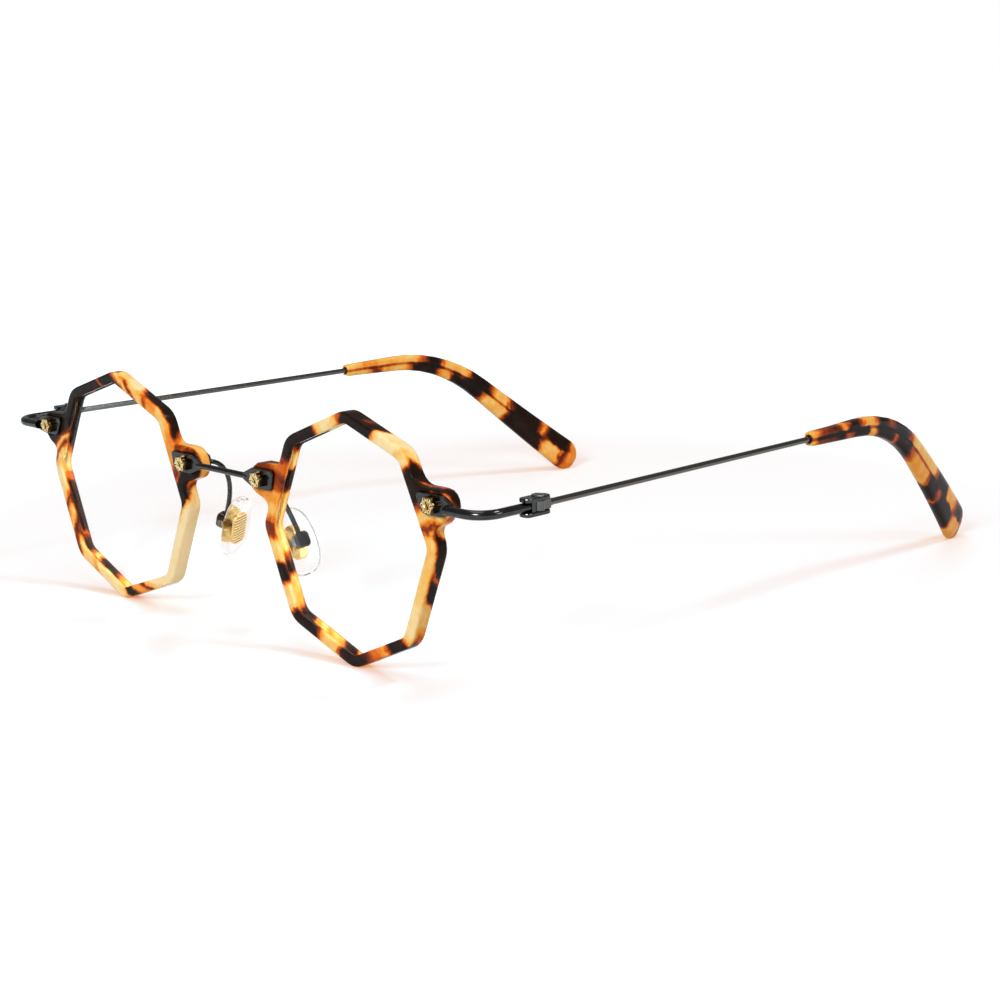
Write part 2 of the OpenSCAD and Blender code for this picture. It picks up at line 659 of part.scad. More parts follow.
function bore_ring(s) = tip_ring(s, wire_d / 2 + core_gap, wire_d / 2 + core_gap, 1, tip_sides);
function tip_rings() =
    concat([for (i = [len(core_stations) - 1:-1:0]) bore_ring(core_stations[i] + (i == 0 ? 0 : 0.3))],
           [for (s = tip_stations) outer_ring(s)], [for (k = [1:cap_steps]) cap_ring(k)]);
function core_rings() =
    [for (s = core_stations) tip_ring(s + (s == 0 ? 0.4 : 0), wire_d / 2 - 0.05, wire_d / 2 - 0.05, 1, tip_sides / 2)];

// Middle of the whole frame from front to back
frame_front = plate_front + star_t;
frame_back = max([for (ring = tip_rings()) for (p = ring) hinge_y + p.y * cos(toe_in) + p.x * sin(toe_in)]);
middle_y = (frame_back - frame_front) / 2;

module temple_tip() {
    color([0.72, 0.4, 0.12])
        at_hinge()
            rotate([0, 0, toe_in])
                skin(tip_rings());
}

end_at = [end_lug_x, end_lug_y];
nose_at = [-nose_lug_x, nose_lug_y];
placed(0) at_rim() rim();  // rim_left
placed(1) at_rim() rim();  // rim_right
placed(0) at_rim() lens();  // lens_left
placed(1) at_rim() lens();  // lens_right
bridge();
placed(0) star_screw(nose_at, rim_depth + tab_rear_t);  // bridge_screw_left
placed(1) star_screw(nose_at, rim_depth + tab_rear_t);  // bridge_screw_right
placed(0) cap_nut(nose_at, rim_depth + tab_rear_t);  // bridge_nut_left
placed(1) cap_nut(nose_at, rim_depth + tab_rear_t);  // bridge_nut_right
placed(0) endpiece();  // endpiece_left
placed(1) endpiece();  // endpiece_right
placed(0) star_screw(end_at, rim_depth);  // endpiece_screw_left
placed(1) star_screw(end_at, rim_depth);  // endpiece_screw_right
placed(0) cap_nut(end_at, rim_depth);  // endpiece_nut_left
placed(1) cap_nut(end_at, rim_depth);  // endpiece_nut_right
placed(0) hinge_screw();  // hinge_screw_left
placed(1) hinge_screw();  // hinge_screw_right
placed(0) pad_arm();  // pad_arm_left
placed(1) pad_arm();  // pad_arm_right
placed(0) pad_screw();  // pad_screw_left
placed(1) pad_screw();  // pad_screw_right
placed(0) pad_insert();  // pad_insert_left
placed(1) pad_insert();  // pad_insert_right
placed(0) nose_pad();  // nose_pad_left
placed(1) nose_pad();  // nose_pad_right
placed(0) temple_wire();  // temple_wire_left
placed(1) temple_wire();  // temple_wire_right
placed(0) temple_tip();  // temple_tip_left
placed(1) temple_tip();  // temple_tip_right
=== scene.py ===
import json
import math

import bpy
from mathutils import Matrix, Vector


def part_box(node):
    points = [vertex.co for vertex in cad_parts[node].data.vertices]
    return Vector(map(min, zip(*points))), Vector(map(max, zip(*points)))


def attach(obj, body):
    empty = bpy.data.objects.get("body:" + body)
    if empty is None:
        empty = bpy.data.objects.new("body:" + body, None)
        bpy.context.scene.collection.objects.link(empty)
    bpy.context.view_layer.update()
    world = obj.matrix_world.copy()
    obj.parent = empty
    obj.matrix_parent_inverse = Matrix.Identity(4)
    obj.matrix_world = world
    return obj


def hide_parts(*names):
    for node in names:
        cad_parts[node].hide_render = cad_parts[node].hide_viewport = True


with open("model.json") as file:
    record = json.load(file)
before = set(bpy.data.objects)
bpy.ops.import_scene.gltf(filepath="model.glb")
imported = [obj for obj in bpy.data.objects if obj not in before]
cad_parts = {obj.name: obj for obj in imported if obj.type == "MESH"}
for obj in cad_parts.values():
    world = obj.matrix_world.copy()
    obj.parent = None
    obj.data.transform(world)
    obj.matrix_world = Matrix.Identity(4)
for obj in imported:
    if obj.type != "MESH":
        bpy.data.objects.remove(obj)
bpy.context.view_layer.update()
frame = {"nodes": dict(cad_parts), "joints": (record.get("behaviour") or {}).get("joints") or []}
bpy.ops.object.select_all(action="DESELECT")
for node in frame["nodes"].values():
    node.data.materials.clear()

MM = 0.001
SIDES = (("left", 1), ("right", -1))
MIRROR = Matrix.Scale(-1, 4, Vector((1, 0, 0)))


def middle_of(node):
    """The middle of a CAD node's box"""
    low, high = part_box(node)
    return (low + high) / 2


def joint_at(name):
    """The point that a joint turns round"""
    return next(Vector(joint["pos_m"]) for joint in frame["joints"] if joint["name"] == name)


def turned(degrees, axis):
    return Matrix.Rotation(math.radians(degrees), 4, axis)


# Places on the left half, taken from the frame
NOSE_LUG = Vector((-22.3, 0, 7.4)) * MM  # from a rim's middle to its bridge screw
RIM_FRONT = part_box("rim_left")[0].y
RIM_MIDDLE = middle_of("bridge_screw_left") - NOSE_LUG
HINGE = joint_at("left_temple_hinge")
PAD_ROCK = joint_at("left_pad_rock")


# Nodes
COLOUR_A, COLOUR_B, COLOUR_RESULT = 6, 7, 2  # a Mix node's sockets for colours


def feed(tree, node, inputs):
    """Gives sockets, by name or number, what they read: another socket, a number, a vector or a colour"""
    for label, value in inputs.items():
        socket = node.inputs[label]
        if isinstance(value, bpy.types.NodeSocket):
            tree.links.new(value, socket)
        else:
            socket.default_value = (*value, 1) if socket.type == "RGBA" else value


def add_node(tree, kind, inputs=None, **settings):
    """A new shader node with its settings made and its sockets fed"""
    node = tree.nodes.new("ShaderNode" + kind)
    for label, value in settings.items():
        setattr(node, label, value)
    feed(tree, node, inputs or {})
    return node


def work(tree, operation, *values, clamp=False):
    """One step of arithmetic on sockets or numbers, kept between 0 and 1 where clamp is set"""
    node = add_node(tree, "Math", dict(enumerate(values)), operation=operation, use_clamp=clamp)
    return node.outputs[0]


def blend(tree, factor, a, b):
    """A value that goes from a to b as factor goes from 0 to 1"""
    return add_node(tree, "Mix", {"Factor": factor, "A": a, "B": b}).outputs["Result"]


def blend_colours(tree, factor, a, b):
    """A colour that goes from a to b as factor goes from 0 to 1"""
    mix = add_node(tree, "Mix", {"Factor": factor, COLOUR_A: a, COLOUR_B: b}, data_type="RGBA")
    return mix.outputs[COLOUR_RESULT]


def around_zero(tree, value, width):
    """A value from 0 to 1 spread out to width, with its middle at 0"""
    return work(tree, "MULTIPLY", work(tree, "SUBTRACT", value, 0.5), width)


# Camera, lights and floor. Angles are in degrees
CAMERA_PLACE = Vector((0.2894, RIM_FRONT - 0.2125, 0.1006))
CAMERA_YAW, CAMERA_DOWN, CAMERA_ROLL = 45.88, 12.3, -1.06
CAMERA_SENSOR, CAMERA_LENS = 36, 73.73
CAMERA_NEAR, CAMERA_FAR = 0.01, 20
LAMP_AIM = (0, 0, 0.02)
WHITE = (1, 1, 1)
WORLD_LIGHT = 0.27  # how bright the white world is for what it lights; it is 1 where it is seen
FLOOR_SIZE = 6
PAPER_GREY = (0.62, 0.62, 0.62)
# The seen matt colour and the warm glow near the object paint a warm tint into the object's shadows on the
# floor
PAPER_SEEN = (0.3, 0.8, 1.0)
WARM_SHADOW_GLOW = (0.712, 0.23, 0.045)
GLOW_NEAR, GLOW_FAR = 0.12, 0.4


def set_camera():
    bpy.ops.object.camera_add()
    camera = bpy.context.object
    camera.name = "photo_camera"
    aim = turned(CAMERA_YAW, "Z") @ turned(90 - CAMERA_DOWN, "X") @ turned(CAMERA_ROLL, "Z")
    camera.matrix_world = Matrix.Translation(CAMERA_PLACE) @ aim
    camera.data.sensor_width = CAMERA_SENSOR
    camera.data.lens = CAMERA_LENS
    camera.data.clip_start = CAMERA_NEAR
    camera.data.clip_end = CAMERA_FAR
    bpy.context.scene.camera = camera


def softbox(name, place, size, power, aim=LAMP_AIM):
    bpy.ops.object.light_add(type="AREA", location=place)
    lamp = bpy.context.object
    lamp.name = name
    lamp.data.shape = "RECTANGLE"
    lamp.data.size, lamp.data.size_y = size
    lamp.data.energy = power
    lamp.rotation_euler = (Vector(aim) - Vector(place)).to_track_quat("-Z", "Y").to_euler()


def seen_directly(tree, mirrored):
    """1 for rays from the camera and through glass, and mirrored for rays off a glossy surface"""
    path = add_node(tree, "LightPath").outputs
    reflected = work(tree, "MULTIPLY", path["Is Glossy Ray"], mirrored)
    first = work(tree, "MAXIMUM", path["Is Camera Ray"], reflected)
    return work(tree, "MAXIMUM", first, path["Is Transmission Ray"])


def set_world():
    world = bpy.data.worlds.new("white_studio")
    bpy.context.scene.world = world
    world.use_nodes = True
    tree = world.node_tree
    seen = seen_directly(tree, mirrored=0)
    strength = work(tree, "MULTIPLY_ADD", seen, 1 - WORLD_LIGHT, WORLD_LIGHT)
    feed(tree, tree.nodes["Background"], {"Color": WHITE, "Strength": strength})


def set_floor():
    """White paper. Where it is seen, its matt colour and its glow add up to white in full light, so
    that a shadow keeps the warm glow alone, a painted warm tint in the object's shadows; further from the
    object the glow is white by itself"""
    bpy.ops.mesh.primitive_plane_add(size=FLOOR_SIZE, location=(0, 0, 0))
    floor = bpy.context.object
    floor.name = "pale_floor"
    paper = bpy.data.materials.new("white_paper")
    paper.use_nodes = True
    tree = paper.node_tree
    tree.nodes.clear()
    seen = seen_directly(tree, mirrored=1)
    place = add_node(tree, "TexCoord").outputs["Object"]
    distance = add_node(tree, "VectorMath", {0: place}, operation="LENGTH").outputs["Value"]
    away = add_node(tree, "MapRange", {"Value": distance, "From Min": GLOW_NEAR, "From Max": GLOW_FAR})
    matt_colour = blend_colours(tree, seen, PAPER_GREY, PAPER_SEEN)
    glow_colour = blend_colours(tree, away.outputs[0], WARM_SHADOW_GLOW, WHITE)
    matt = add_node(tree, "BsdfDiffuse", {"Color": matt_colour})
    glow = add_node(tree, "Emission", {"Color": glow_colour, "Strength": seen})
    both = add_node(tree, "AddShader", {0: matt.outputs[0], 1: glow.outputs[0]})
    add_node(tree, "OutputMaterial", {"Surface": both.outputs[0]})
    floor.data.materials.append(paper)


set_camera()
set_world()
set_floor()
softbox("key_softbox", place=(0.35, -0.9, 0.55), size=(0.3, 0.2), power=6.5, aim=(0, -0.03, 0.02))
softbox("top_softbox", place=(-0.1, -0.1, 0.9), size=(0.9, 0.35), power=1.8)
softbox("side_softbox", place=(0.95, 0.4, 0.4), size=(0.3, 0.2), power=1.8)
softbox("back_softbox", place=(0.45, 0.4, 0.95), size=(0.3, 0.1), power=3.1)


# Effects that several materials share
RUB_DEPTH = 0.02 * MM
TORTOISE_COLOURS = [  # from the palest shade, 0, to the darkest, 1
    (0.0, (1.0, 0.76, 0.43)), (0.09, (0.98, 0.70, 0.34)), (0.2, (0.95, 0.54, 0.14)),
    (0.34, (0.92, 0.34, 0.04)), (0.48, (0.70, 0.14, 0.010)), (0.62, (0.28, 0.040, 0.007)),
    (0.76, (0.062, 0.015, 0.007)), (0.9, (0.020, 0.009, 0.006)), (1.0, (0.012, 0.007, 0.005))]
CLOUD_SWING, STREAK_SWING = 0.34, 0.12  # how far clouds and streaks change the shade
SMEAR_SHARE, RUBBED_SHARE = 0.6, 0.4  # what smears and rubbed lines each give to the roughness


def new_group(name, inputs, outputs):
    """An empty node group with named sockets, such as {"Place": "Vector"}, and its two end nodes"""
    group = bpy.data.node_groups.new(name, "ShaderNodeTree")
    for way, sockets in (("INPUT", inputs), ("OUTPUT", outputs)):
        for label, kind in sockets.items():
            group.interface.new_socket(label, in_out=way, socket_type="NodeSocket" + kind)
    return group, group.nodes.new("NodeGroupInput").outputs, group.nodes.new("NodeGroupOutput")


def speckle(tree, place, grain, detail, rough=0.5, stretch=None):
    """Noise around 0.5, with about grain specks to the metre, drawn out where stretch is under 1"""
    if stretch:
        place = add_node(tree, "Mapping", {"Vector": place, "Scale": stretch}).outputs[0]
    look = {"Vector": place, "Scale": grain, "Detail": detail, "Roughness": rough}
    return add_node(tree, "TexNoise", look).outputs["Fac"]


def colour_ramp(tree, factor, stops):
    ramp = add_node(tree, "ValToRGB", {"Fac": factor})
    elements = ramp.color_ramp.elements
    while len(elements) > 1:
        elements.remove(elements[-1])
    for i, (place, colour) in enumerate(stops):
        element = elements[0] if i == 0 else elements.new(place)
        element.position = place
        element.color = (*colour, 1)
    return ramp.outputs["Color"]


def make_tortoise():
    """Turns a shade from 0 to 1 into the colours of tortoiseshell, clouded and streaked"""
    group, given, result = new_group(
        "tortoiseshell", {"Shade": "Float", "Place": "Vector"}, {"Color": "Color"})
    cloud = speckle(group, given["Place"], grain=420, detail=3, rough=0.55)
    streak = speckle(group, given["Place"], grain=900, detail=2, stretch=(1, 1, 0.35))
    shade = work(group, "ADD", given["Shade"], around_zero(group, cloud, CLOUD_SWING))
    shade = work(group, "ADD", shade, around_zero(group, streak, STREAK_SWING), clamp=True)
    feed(group, result, {"Color": colour_ramp(group, shade, TORTOISE_COLOURS)})
    return group


def make_handling():
    """Uneven polish with fine rubbed lines, as a roughness and a height"""
    group, given, result = new_group(
        "handling", {"Place": "Vector", "Base": "Float", "Spread": "Float"},
        {"Roughness": "Float", "Height": "Float"})
    smear = speckle(group, given["Place"], grain=160, detail=3, rough=0.6)
    rubbed = speckle(group, given["Place"], grain=5200, detail=2, rough=0.6, stretch=(0.12, 1, 1))
    smear_part = work(group, "MULTIPLY", smear, SMEAR_SHARE)
    rubbed_part = work(group, "MULTIPLY", rubbed, RUBBED_SHARE)
    change = around_zero(group, work(group, "ADD", smear_part, rubbed_part), given["Spread"])
    roughness = work(group, "ADD", given["Base"], change, clamp=True)
    feed(group, result, {"Roughness": roughness, "Height": rubbed})
    return group


def make_tone():
    """Two shades of one colour, clouded into each other"""
    group, given, result = new_group(
        "tone", {"Place": "Vector", "Dark": "Color", "Light": "Color"}, {"Color": "Color"})
    cloud = speckle(group, given["Place"], grain=650, detail=4, rough=0.62)
    feed(group, result, {"Color": blend_colours(group, cloud, given["Dark"], given["Light"])})
    return group


tortoise = make_tortoise()
handling = make_handling()
tone = make_tone()


def finish(name, metallic, rough, spread, bump):
    """A material, its tree, its Principled node and its Object coordinates, with an uneven polish"""
    material = bpy.data.materials.new(name)
    material.use_nodes = True
    tree = material.node_tree
    surface = tree.nodes["Principled BSDF"]
    place = add_node(tree, "TexCoord").outputs["Object"]
    polish = add_node(tree, "Group", {"Place": place, "Base": rough, "Spread": spread}, node_tree=handling)
    feed(tree, surface, {"Metallic": metallic, "Roughness": polish.outputs["Roughness"]})
    if bump:
        rubbed = {"Strength": bump, "Distance": RUB_DEPTH, "Height": polish.outputs["Height"]}
        feed(tree, surface, {"Normal": add_node(tree, "Bump", rubbed).outputs[0]})
    return material, tree, surface, place


# Tortoiseshell acetate
SHADES = {"pearl": 0.0, "cream": 0.08, "honey": 0.19, "gold": 0.26, "amber": 0.36, "ember": 0.52,
          "umber": 0.67, "bark": 0.93}
MOST_BLEND = 0.4  # a band's share that blends into its neighbour on one side, at most
ACETATE_POLISH = {"rough": 0.17, "spread": 0.12, "bump": 0.08}
ACETATE_BODY = {"IOR": 1.25, "Subsurface Weight": 0.45, "Subsurface Radius": (1.0, 0.45, 0.15),
                "Subsurface Scale": 1.6 * MM}


def band_ramp(tree, factor, bands, start, end, soft):
    """Ramp from bands such as [(0, "honey"), (13, "bark")]: each shade runs to the next one's start"""
    stops = []
    for (edge, shade), (stop, _) in zip(bands, bands[1:] + [(end, None)]):
        room = min(soft, (stop - edge) * MOST_BLEND)
        for at in (edge + room, stop - room):
            stops.append(((at - start) / (end - start), (SHADES[shade],) * 3))
    return colour_ramp(tree, factor, stops)


def wander(tree, place, value, wide, narrow, clamp=False):
    """value moved to and fro, by wide with coarse noise and by narrow with fine noise"""
    coarse = around_zero(tree, speckle(tree, place, grain=260, detail=1), wide)
    fine = around_zero(tree, speckle(tree, place, grain=1100, detail=2), narrow)
    return work(tree, "ADD", work(tree, "ADD", value, coarse), fine, clamp=clamp)


def acetate(name, gloss):
    """Acetate whose shade is still to be fed into the last thing that it gives back"""
    material, tree, surface, place = finish(name, metallic=0.0, **ACETATE_POLISH)
    shell = add_node(tree, "Group", {"Place": place}, node_tree=tortoise)
    feed(tree, surface, {"Base Color": shell.outputs["Color"], "Specular IOR Level": gloss, **ACETATE_BODY})
    return material, tree, place, shell


# The rims' acetate. Its bands are in degrees round the rim, from its outer side upwards
RIM_GLOSS = 0.18
RIM_RAMPS = 3  # a ramp holds 32 stops, so each holds a third of the bands
RIM_BAND_SOFT = 2.2
RIM_WANDER = (0.022, 0.012)  # in turns
LEAN_FROM, LEAN_OVER = 18 * MM, 5 * MM  # the radius where the lean begins, and how much further it goes
SLANT, SLANT_DEPTH = 0.008, 1.5  # turns to a millimetre of depth, and the depth without a turn
WALL_OVER, WALL_FROM, WALL_WANDER = 0.9, 0.25, (0.9, 0.4)  # the depth at which the walls' set begins
EDGE_PAINTED_SHADE, EDGE_DEPTH, EDGE_POWER = 0.16, 1.6, 4  # painted shade: the walls darken away from the middle of their depth, as clear acetate looks darker at its edges


def shade_round(tree, turn, bands):
    """The shade that the bands give at a turn, which goes from 0 to 1 round the rim"""
    span = 360 // RIM_RAMPS
    shade = None
    for third in range(RIM_RAMPS):
        start, end = third * span, (third + 1) * span
        carried_over = [name for edge, name in bands if edge <= start][-1]
        inside = [(start, carried_over)] + [band for band in bands if start < band[0] < end]
        here = work(tree, "SUBTRACT", work(tree, "MULTIPLY", turn, RIM_RAMPS), third)
        ramp = band_ramp(tree, here, inside, start, end, RIM_BAND_SOFT)
        if shade is None:
            shade = ramp
        else:
            shade = blend(tree, work(tree, "GREATER_THAN", turn, third / RIM_RAMPS), shade, ramp)
    return shade


def rim_acetate(side, sign, lean, face_bands, wall_bands):
    """Acetate whose blotches run round the rim: one set on the front face, one on the walls behind it.
    lean is how far round the face's blotches turn on their way across the rim"""
    material, tree, place, shell = acetate("acetate_rim_" + side, RIM_GLOSS)
    parts = add_node(tree, "SeparateXYZ", {0: place}).outputs
    outward = work(tree, "MULTIPLY", work(tree, "SUBTRACT", parts["X"], sign * RIM_MIDDLE.x), sign)
    upward = work(tree, "SUBTRACT", parts["Z"], RIM_MIDDLE.z)
    turn = work(tree, "DIVIDE", work(tree, "ARCTAN2", upward, outward), 2 * math.pi)
    turn = work(tree, "FRACT", work(tree, "ADD", turn, 1))
    turn = wander(tree, place, turn, *RIM_WANDER)

    squares = [work(tree, "MULTIPLY", way, way) for way in (outward, upward)]
    radius = work(tree, "SQRT", work(tree, "ADD", *squares))
    across = work(tree, "DIVIDE", work(tree, "SUBTRACT", radius, LEAN_FROM), LEAN_OVER, clamp=True)
    face_turn = work(tree, "ADD", turn, around_zero(tree, across, lean))

    depth = work(tree, "DIVIDE", work(tree, "SUBTRACT", parts["Y"], RIM_FRONT), MM)
    slant = work(tree, "MULTIPLY", work(tree, "SUBTRACT", depth, SLANT_DEPTH), SLANT)
    wall_turn = work(tree, "ADD", turn, slant)

    behind = wander(tree, place, work(tree, "DIVIDE", depth, WALL_OVER), *WALL_WANDER)
    behind = work(tree, "SUBTRACT", behind, WALL_FROM, clamp=True)
    face_shade = shade_round(tree, face_turn, face_bands)
    wall_shade = shade_round(tree, wall_turn, wall_bands)
    shade = blend(tree, behind, face_shade, wall_shade)

    # Painted shade: the walls grow darker towards their front and back edges
    off_middle = work(tree, "ABSOLUTE", work(tree, "SUBTRACT", depth, EDGE_DEPTH))
    edge = work(tree, "POWER", work(tree, "DIVIDE", off_middle, EDGE_DEPTH), EDGE_POWER, clamp=True)
    edge = work(tree, "MULTIPLY", work(tree, "MULTIPLY", edge, behind), EDGE_PAINTED_SHADE)
    feed(tree, shell, {"Shade": work(tree, "ADD", shade, edge)})
    return material


rim_materials = {
    "left": rim_acetate(
        "left", 1, lean=0.0,
        face_bands=[
            (0, "honey"), (12, "umber"), (16, "honey"), (23.5, "ember"), (25.5, "bark"), (43, "honey"),
            (52, "cream"), (66, "honey"), (69, "bark"), (92, "ember"), (95, "honey"), (101, "cream"),
            (109, "honey"), (112, "bark"), (144, "ember"), (153, "umber"), (162, "amber"), (171, "honey"),
            (178, "umber"), (189, "honey"), (201, "bark"), (212, "honey"), (215, "cream"), (222, "honey"),
            (225, "bark"), (245, "amber"), (248, "honey"), (262, "bark"), (281, "umber"), (286, "ember"),
            (293, "amber"), (300, "bark"), (313, "honey"), (316, "cream"), (335, "honey")],
        wall_bands=[
            (0, "bark"), (11, "honey"), (16, "ember"), (21, "bark"), (29, "ember"), (31.5, "bark"),
            (44, "honey"), (50, "cream"), (66, "bark"), (74, "umber"), (77, "bark"), (93, "honey"),
            (100, "cream"), (110, "bark"), (138, "ember"), (142, "honey"), (152, "bark"), (164, "gold"),
            (172, "honey"), (199, "umber"), (204, "bark"), (209, "gold"), (226, "ember"), (228, "bark"),
            (237, "amber"), (241, "honey"), (247, "amber"), (252, "gold"), (258, "amber"), (262, "bark"),
            (272, "amber"), (285, "umber"), (297, "bark"), (314, "ember"), (320, "amber"), (324, "honey"),
            (337, "bark"), (350, "ember"), (353, "bark")]),
    "right": rim_acetate(
        "right", -1, lean=0.06,
        face_bands=[
            (0, "cream"), (3, "honey"), (10, "umber"), (14, "honey"), (19, "umber"), (22, "bark"),
            (73, "ember"), (76, "bark"), (90, "ember"), (93, "honey"), (99, "umber"), (103, "honey"),
            (112, "ember"), (118, "amber"), (130, "honey"), (141, "amber"), (155, "umber"), (164, "ember"),
            (167, "bark"), (184, "amber"), (186, "cream"), (190, "pearl"), (238, "honey"), (243, "umber"),
            (248, "amber"), (258, "bark"), (268, "honey"), (274, "cream"), (292, "amber"), (297, "honey"),
            (314, "umber"), (322, "honey"), (327, "amber"), (333, "umber"), (339, "honey"), (345, "cream")],
        wall_bands=[
            (0, "amber"), (4, "honey"), (14, "ember"), (18, "bark"), (60, "ember"), (66, "bark"),
            (89, "honey"), (100, "cream"), (113, "umber"), (118, "bark"), (146, "ember"), (151, "gold"),
            (172, "umber"), (176, "honey"), (182, "cream"), (190, "pearl"), (245, "honey"), (262, "umber"),
            (268, "honey"), (280, "amber"), (288, "bark"), (304, "honey"), (310, "ember"), (314, "bark"),
            (322, "ember"), (326, "bark"), (356, "ember")]),
}


# The tips' acetate. Its bands are in millimetres along the tip, from its mouth
TIP_GLOSS = 0.16
TIP_SPAN, TIP_RISE = 75.0, 10.0  # what 1 along and 1 up on the map along_tip are, in millimetres
TIP_BAND_SOFT = 1.0
TIP_WANDER = (0.05, 0.02)  # in lengths of the map
HALVES_OVER, HALVES_WANDER = 0.9, (2.6, 0.8)  # how the upper half's bands give way to the lower's
CORE_LEN, CORE_HALF, CORE_SOFT, CORE_DARK = 52, 1.6, 0.28, 0.3  # the wire core's dark line
TIP_DULL = 0.04  # takes the palest shades down a little


def tip_acetate(side, upper_bands, lower_bands):
    """Acetate whose blotches follow the tip, darker along its middle where the wire core shows"""
    material, tree, place, shell = acetate("acetate_tip_" + side, TIP_GLOSS)
    spot = add_node(tree, "UVMap", uv_map="along_tip").outputs[0]
    parts = add_node(tree, "SeparateXYZ", {0: spot}).outputs
    along = wander(tree, place, parts["X"], *TIP_WANDER)
    height = around_zero(tree, parts["Y"], TIP_RISE)
    upper = work(tree, "ADD", work(tree, "DIVIDE", height, HALVES_OVER), 0.5)
    upper = wander(tree, place, upper, *HALVES_WANDER, clamp=True)
    lower_shade, upper_shade = (
        band_ramp(tree, along, bands, 0, TIP_SPAN, TIP_BAND_SOFT) for bands in (lower_bands, upper_bands))
    shade = blend(tree, upper, lower_shade, upper_shade)

    off_line = work(tree, "DIVIDE", work(tree, "ABSOLUTE", height), CORE_SOFT)
    core = work(tree, "SUBTRACT", CORE_HALF, off_line, clamp=True)
    core = work(tree, "MULTIPLY", core, work(tree, "LESS_THAN", parts["X"], CORE_LEN / TIP_SPAN))
    shade = work(tree, "ADD", shade, work(tree, "MULTIPLY", core, CORE_DARK), clamp=True)
    dulling = work(tree, "MULTIPLY", work(tree, "SUBTRACT", 1, shade), TIP_DULL)
    feed(tree, shell, {"Shade": work(tree, "ADD", shade, dulling)})
    return material


tip_materials = {
    "left": tip_acetate(
        "left",
        upper_bands=[
            (0, "gold"), (1.5, "umber"), (9.3, "amber"), (10.8, "bark"), (16, "gold"), (21.5, "bark"),
            (25, "umber"), (29, "bark"), (34.5, "ember"), (36.5, "honey"), (51, "ember"), (52, "bark"),
            (59.5, "gold"), (65.5, "umber"), (68, "bark"), (72, "gold")],
        lower_bands=[
            (0, "gold"), (1, "umber"), (7, "bark"), (10, "ember"), (13, "bark"), (18, "gold"),
            (21, "bark"), (28, "ember"), (30.5, "bark"), (37, "ember"), (39.5, "gold"), (49, "bark"),
            (55, "ember"), (56.5, "bark"), (66.5, "gold"), (72.5, "bark")]),
    "right": tip_acetate(
        "right",
        upper_bands=[
            (0, "honey"), (4, "amber"), (9, "gold"), (13, "honey"), (21, "ember"), (22.5, "bark"),
            (28, "gold"), (30, "honey"), (36, "bark"), (43, "ember"), (44.5, "honey"), (49, "umber"),
            (51, "bark"), (60, "amber"), (62.5, "bark"), (70, "amber")],
        lower_bands=[
            (0, "honey"), (5, "amber"), (7, "umber"), (10, "gold"), (13, "honey"), (17.5, "ember"),
            (19, "bark"), (27, "gold"), (31, "bark"), (41, "ember"), (42.5, "honey"), (50, "bark"),
            (63, "honey"), (67, "gold"), (68.5, "umber"), (70, "amber")]),
}


# Metal, glass and silicone
def toned(name, metallic, dark, light, rough, spread, bump):
    """A finish whose colour clouds between a dark and a light shade"""
    material, tree, surface, place = finish(name, metallic, rough, spread, bump)
    shades = add_node(tree, "Group", {"Place": place, "Dark": dark, "Light": light}, node_tree=tone)
    feed(tree, surface, {"Base Color": shades.outputs["Color"]})
    return material, tree, surface


def metal(name, dark, light, rough=0.2, spread=0.2, bump=0.1):
    return toned(name, 1.0, dark, light, rough, spread, bump)[0]


def clear(name, dark, light, ior, rough, mirror):
    """Clear body that lets lamp light through to what lies behind it; mirror tints its reflections"""
    material, tree, surface = toned(name, 0.0, dark, light, rough, spread=0.04, bump=0)
    feed(tree, surface, {"Transmission Weight": 1.0, "IOR": ior, "Specular Tint": mirror})
    shadow = add_node(tree, "LightPath").outputs["Is Shadow Ray"]
    open_way = add_node(tree, "BsdfTransparent")
    mix = add_node(tree, "MixShader", {0: shadow, 1: surface.outputs[0], 2: open_way.outputs[0]})
    feed(tree, tree.nodes["Material Output"], {"Surface": mix.outputs[0]})
    return material


gunmetal = metal("gunmetal", (0.028, 0.026, 0.026), (0.088, 0.082, 0.079), rough=0.17, spread=0.16)
wire_metal = metal("gunmetal_wire", (0.105, 0.088, 0.076), (0.14, 0.12, 0.105), spread=0.08, bump=0)
screw_metal = metal("screw_steel", (0.16, 0.155, 0.15), (0.42, 0.41, 0.4), rough=0.22)
gold = metal("gold_face", (0.66, 0.37, 0.11), (0.95, 0.70, 0.36), bump=0.15)
gold_pale = metal("gold_pale", (0.74, 0.48, 0.13), (1.0, 0.70, 0.26), rough=0.25, bump=0.15)
# painted highlight: a brighter gold for the ribs on the pad plate
gold_rib_painted_highlight = metal("gold_rib_painted_highlight", (0.98, 0.76, 0.34), (1.0, 0.88, 0.5))
# painted shade: a darker gold for the pad plate's front between the ribs
gold_gap_painted_shade = metal("gold_gap_painted_shade", (0.4, 0.22, 0.06), (0.6, 0.36, 0.11), rough=0.3)
# painted shade: a darker, browner gold for a star's sunk middle
gold_sunk_painted_shade = metal("gold_sunk_painted_shade", (0.42, 0.22, 0.07), (0.75, 0.46, 0.18), rough=0.25)
# painted shade: a near-black gold for the star screws' side walls
gold_wall_painted_shade = metal("gold_wall_painted_shade", (0.035, 0.022, 0.010), (0.16, 0.095, 0.035), rough=0.25)
silicone = clear("clear_silicone", (0.95, 0.88, 0.87), (0.99, 0.96, 0.95),
                 ior=1.26, rough=0.04, mirror=(0.9, 0.8, 0.8))
lens_glass = clear("lens_glass", (0.985, 0.99, 0.99), (1.0, 1.0, 1.0),
                   ior=1.2, rough=0.01, mirror=(0.03, 0.05, 0.04))

